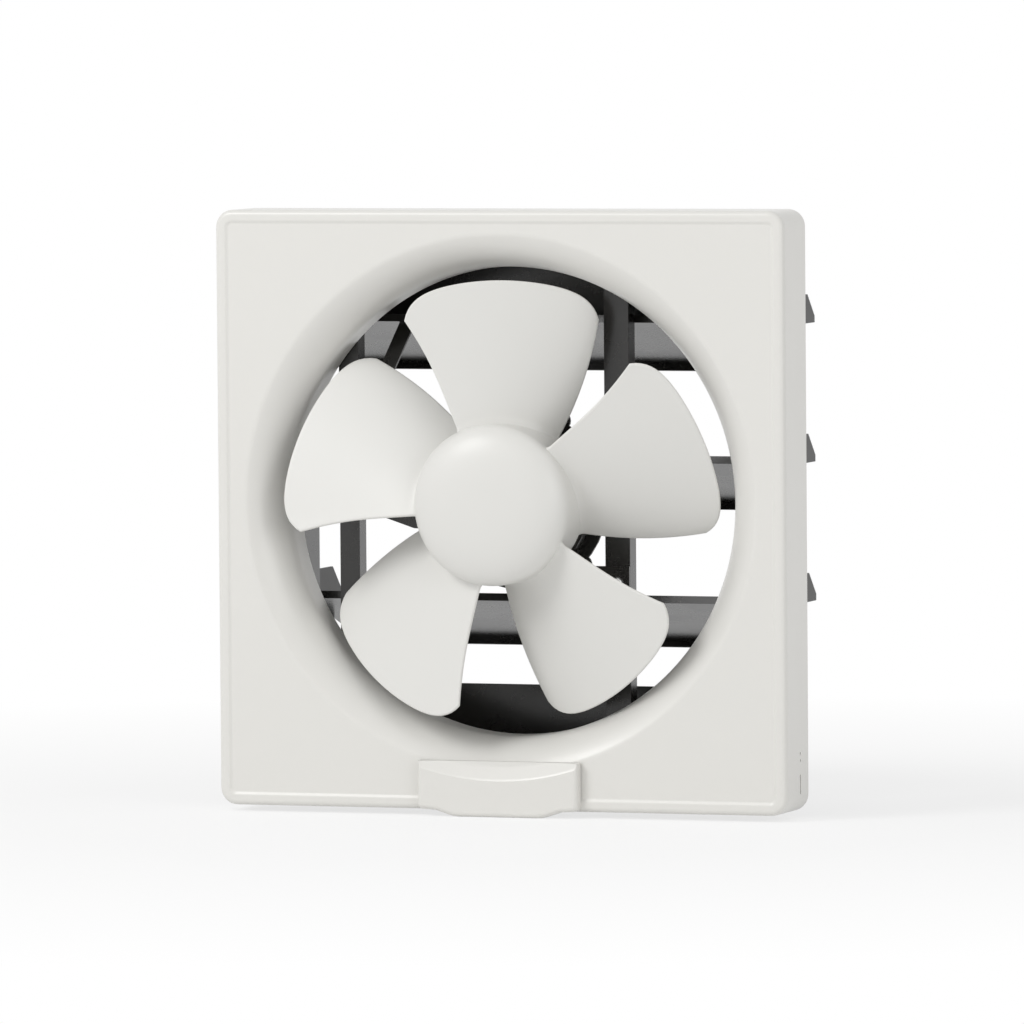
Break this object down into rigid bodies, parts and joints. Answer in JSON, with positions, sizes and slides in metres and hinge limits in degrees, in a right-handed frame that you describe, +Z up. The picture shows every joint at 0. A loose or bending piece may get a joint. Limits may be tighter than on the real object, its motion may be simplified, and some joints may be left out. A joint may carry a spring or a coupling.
{
  "type": "window exhaust fan",
  "caption": "Square white wall exhaust fan with a five-blade impeller in a bell mouth, a motor on a black strut frame and a rear shutter of linked tilting slats.",
  "frame": {"origin": "on the fan axis, in the plane of the wall on which the frame's flange lies", "axes": "+Y along the fan axis, out of the room; +X to the right as seen from the room; +Z up"},
  "size_m": [0.344, 0.1685, 0.3476],
  "materials": {
    "white_plastic": "satin",
    "blade_plastic": "satin",
    "black_sheet": "semi-gloss",
    "steel": "zinc plated",
    "core_steel": "raw laminations",
    "copper_wire": "enamelled",
    "black_plastic": "satin",
    "grey_plastic": "satin"
  },
  "bodies": {
    "housing": {"front_panel": "white_plastic", "rear_frame": "black_sheet", "strut_left": "black_sheet", "strut_right": "black_sheet", "motor_bracket": "black_sheet", "motor_front_shell": "black_sheet", "motor_rear_shell": "black_sheet", "stator_core": "core_steel", "coil_front": "copper_wire", "coil_rear": "copper_wire", "bearing_front": "steel", "bearing_rear": "steel", "panel_screw_1": "steel", "panel_screw_2": "steel", "panel_screw_3": "steel", "panel_screw_4": "steel", "motor_screw_1": "steel", "motor_screw_2": "steel", "motor_screw_3": "steel", "bracket_screw_1": "steel", "bracket_screw_2": "steel", "foot_screw_1": "steel", "foot_screw_2": "steel", "foot_screw_3": "steel", "foot_screw_4": "steel", "clamp_screw": "steel", "terminal_box": "black_plastic", "terminal_cover": "grey_plastic", "cable_gland": "black_plastic", "capacitor": "grey_plastic", "capacitor_clamp": "steel"},
    "oil_cup": {"oil_cup": "white_plastic"},
    "rotor": {"impeller": "blade_plastic", "spinner": "blade_plastic", "impeller_nut": "steel", "motor_shaft": "steel", "rotor_core": "core_steel"},
    "slat_top": {"slat_1": "black_sheet", "slat_1_cheek_right": "black_plastic", "slat_1_cheek_left": "black_plastic", "slat_1_link_pin": "steel", "operating_arm": "black_sheet", "arm_rivet": "steel"},
    "slat_middle": {"slat_2": "black_sheet", "slat_2_cheek_right": "black_plastic", "slat_2_cheek_left": "black_plastic", "slat_2_link_pin": "steel"},
    "slat_bottom": {"slat_3": "black_sheet", "slat_3_cheek_right": "black_plastic", "slat_3_cheek_left": "black_plastic", "slat_3_link_pin": "steel"},
    "link_bar": {"link_bar": "black_sheet"}
  },
  "joints": [
    {"name": "rotor_spin", "type": "hinge", "parent": "housing", "child": "rotor", "pos_m": [0, 0, 0], "axis": [0, 1, 0], "continuous": true},
    {"name": "oil_cup_slide", "type": "slide", "parent": "housing", "child": "oil_cup", "axis": [0, 0, -1], "range_m": [0, 0.008]},
    {"name": "slat_top_tilt", "type": "hinge", "parent": "housing", "child": "slat_top", "pos_m": [0, 0.051, 0.0911], "axis": [-1, 0, 0], "range_deg": [0, 67.5]},
    {"name": "slat_middle_tilt", "type": "hinge", "parent": "housing", "child": "slat_middle", "pos_m": [0, 0.051, 0.0104], "axis": [-1, 0, 0], "range_deg": [0, 67.5]},
    {"name": "slat_bottom_tilt", "type": "hinge", "parent": "housing", "child": "slat_bottom", "pos_m": [0, 0.051, -0.0703], "axis": [-1, 0, 0], "range_deg": [0, 67.5]},
    {"name": "link_bar_tilt", "type": "hinge", "parent": "slat_top", "child": "link_bar", "pos_m": [0.14075, 0.065, 0.1031], "axis": [-1, 0, 0], "range_deg": [-67.5, 0]}
  ],
  "couplings": [
    {"joint": "slat_middle_tilt", "follows": "slat_top_tilt", "ratio": 1},
    {"joint": "slat_bottom_tilt", "follows": "slat_top_tilt", "ratio": 1},
    {"joint": "link_bar_tilt", "follows": "slat_top_tilt", "ratio": -1}
  ]
}
